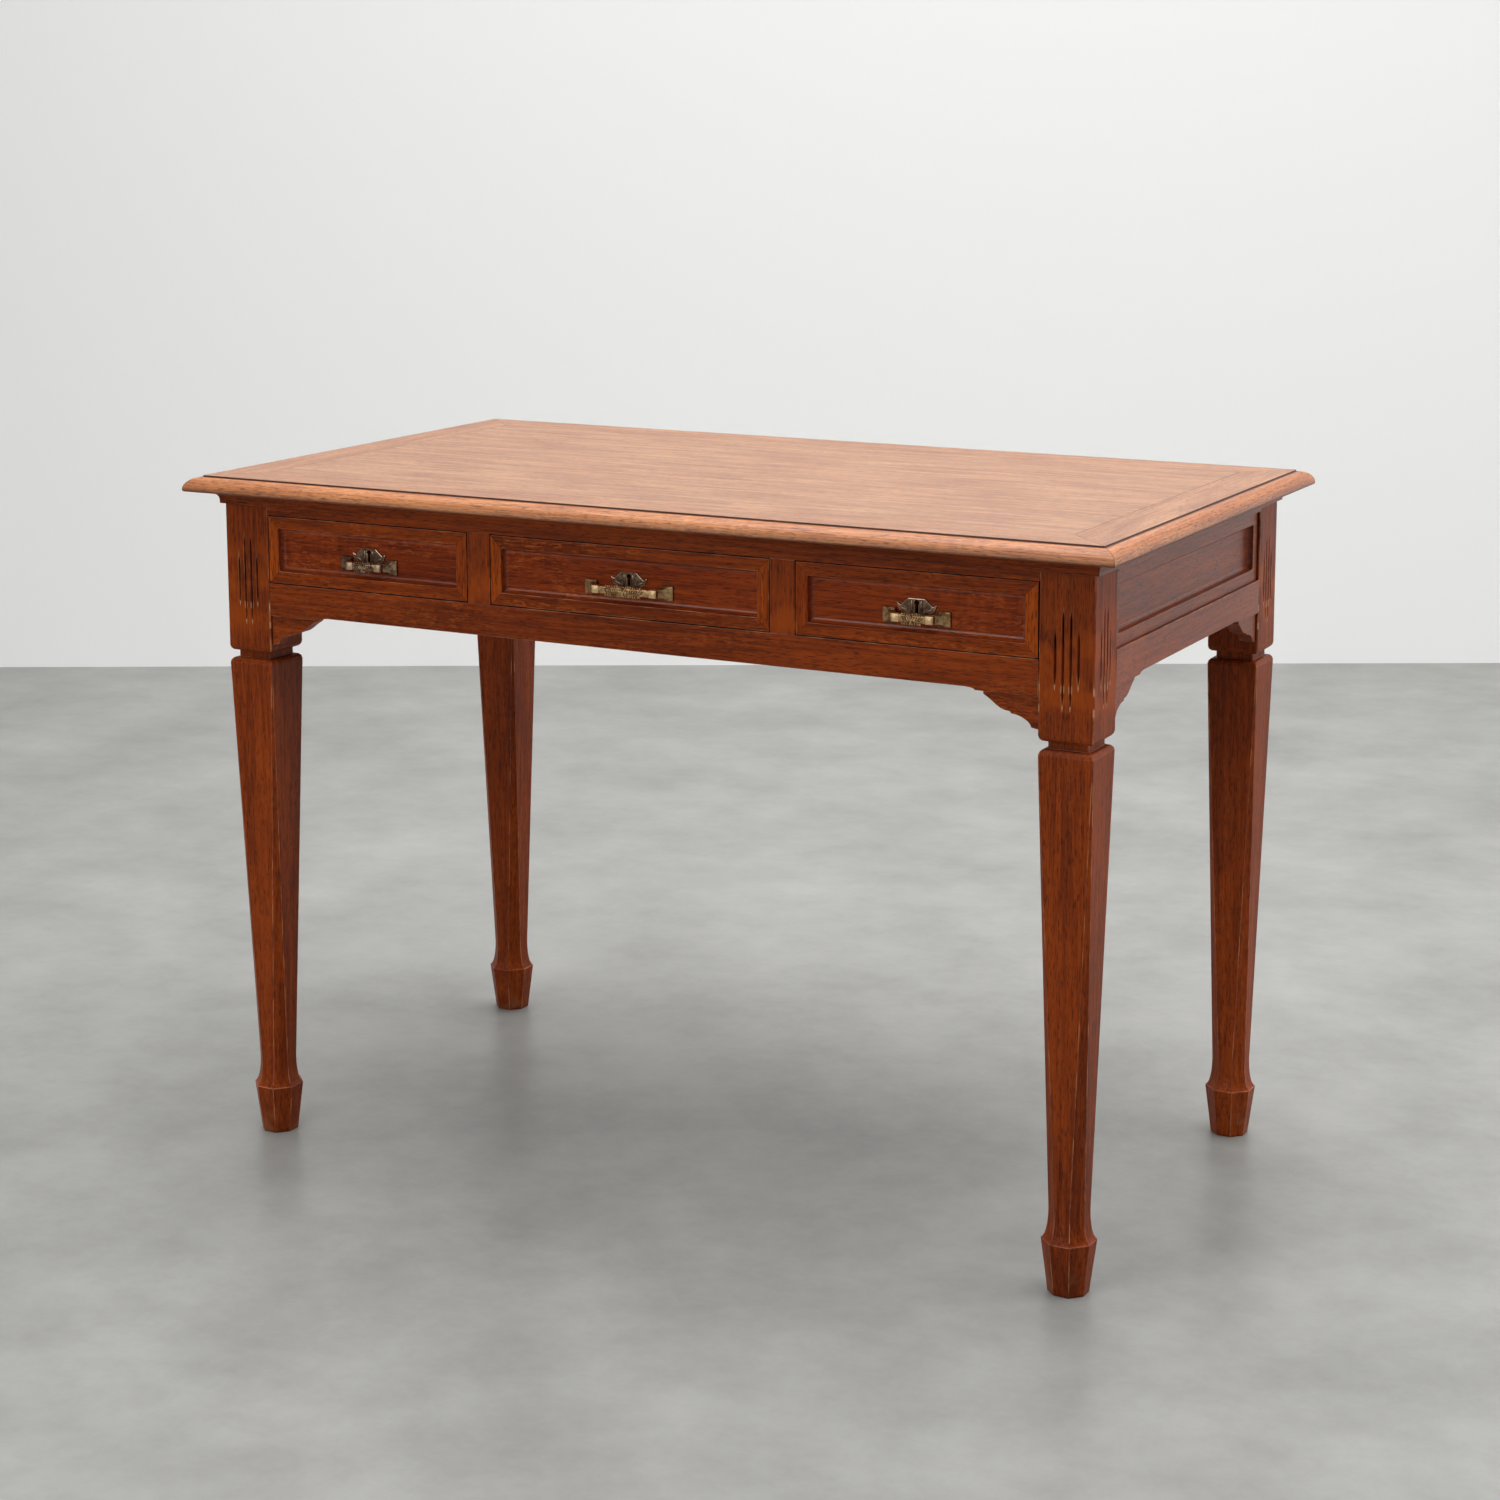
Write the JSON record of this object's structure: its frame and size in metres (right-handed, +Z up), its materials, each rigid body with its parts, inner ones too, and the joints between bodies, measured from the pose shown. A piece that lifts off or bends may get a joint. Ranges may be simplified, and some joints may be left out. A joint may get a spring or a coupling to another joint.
{
  "type": "writing desk",
  "caption": "Freestanding oak writing desk: moulded bordered top, framed frieze drawers with locks and brass bar pulls, stepped corner brackets, tapered legs on octagonal spade feet.",
  "frame": {"origin": "on the floor, under the middle of the top", "axes": "+X along the length to the right as seen from the drawers, the drawers face -Y, +Z up"},
  "size_m": [1.106, 0.629, 0.77],
  "materials": {
    "oak_top": "semi-gloss waxed oak, light pinkish tan",
    "oak_nosing": "semi-gloss waxed oak, orange brown",
    "oak_frame": "semi-gloss stained oak, reddish brown",
    "oak_front": "semi-gloss stained oak, reddish brown",
    "oak_inside": "bare oak, dry",
    "brass": "aged cast brass",
    "bronze": "dark patinated brass",
    "lock_brass": "sawn and filed brass"
  },
  "bodies": {
    "frame": {"back_panel": "oak_frame", "bracket_front_left": "oak_frame", "bracket_front_right": "oak_frame", "bracket_side_back_left": "oak_frame", "bracket_side_back_right": "oak_frame", "bracket_side_front_left": "oak_frame", "bracket_side_front_right": "oak_frame", "cove_moulding_back": "oak_frame", "cove_moulding_front": "oak_frame", "cove_moulding_left": "oak_frame", "cove_moulding_right": "oak_frame", "divider_left": "oak_frame", "divider_right": "oak_frame", "front_lower_rail": "oak_frame", "front_top_rail": "oak_frame", "leg_back_left": "oak_frame", "leg_back_right": "oak_frame", "leg_front_left": "oak_frame", "leg_front_right": "oak_frame", "middle_runner_left": "oak_inside", "middle_runner_right": "oak_inside", "outer_runner_left": "oak_inside", "outer_runner_right": "oak_inside", "side_lower_rail_left": "oak_frame", "side_lower_rail_right": "oak_frame", "side_panel_left": "oak_front", "side_panel_right": "oak_front", "top_border_back": "oak_nosing", "top_border_front": "oak_nosing", "top_border_left": "oak_nosing", "top_border_right": "oak_nosing", "top_field": "oak_top"},
    "drawer_left": {"drawer_left_back": "oak_inside", "drawer_left_bottom": "oak_inside", "drawer_left_escutcheon": "bronze", "drawer_left_front": "oak_front", "drawer_left_lock": "lock_brass", "drawer_left_pull": "brass", "drawer_left_side_left": "oak_inside", "drawer_left_side_right": "oak_inside"},
    "bolt_left": {"drawer_left_bolt": "lock_brass"},
    "drawer_centre": {"drawer_centre_back": "oak_inside", "drawer_centre_bottom": "oak_inside", "drawer_centre_escutcheon": "bronze", "drawer_centre_front": "oak_front", "drawer_centre_lock": "lock_brass", "drawer_centre_pull": "brass", "drawer_centre_side_left": "oak_inside", "drawer_centre_side_right": "oak_inside"},
    "bolt_centre": {"drawer_centre_bolt": "lock_brass"},
    "drawer_right": {"drawer_right_back": "oak_inside", "drawer_right_bottom": "oak_inside", "drawer_right_escutcheon": "bronze", "drawer_right_front": "oak_front", "drawer_right_lock": "lock_brass", "drawer_right_pull": "brass", "drawer_right_side_left": "oak_inside", "drawer_right_side_right": "oak_inside"},
    "bolt_right": {"drawer_right_bolt": "lock_brass"}
  },
  "joints": [
    {"name": "drawer_left_slide", "type": "slide", "parent": "frame", "child": "drawer_left", "axis": [0, -1, 0], "range_m": [0, 0.36]},
    {"name": "drawer_centre_slide", "type": "slide", "parent": "frame", "child": "drawer_centre", "axis": [0, -1, 0], "range_m": [0, 0.36]},
    {"name": "drawer_right_slide", "type": "slide", "parent": "frame", "child": "drawer_right", "axis": [0, -1, 0], "range_m": [0, 0.36]},
    {"name": "bolt_left_slide", "type": "slide", "parent": "drawer_left", "child": "bolt_left", "axis": [0, 0, 1], "range_m": [0, 0.005]},
    {"name": "bolt_centre_slide", "type": "slide", "parent": "drawer_centre", "child": "bolt_centre", "axis": [0, 0, 1], "range_m": [0, 0.005]},
    {"name": "bolt_right_slide", "type": "slide", "parent": "drawer_right", "child": "bolt_right", "axis": [0, 0, 1], "range_m": [0, 0.005]}
  ]
}
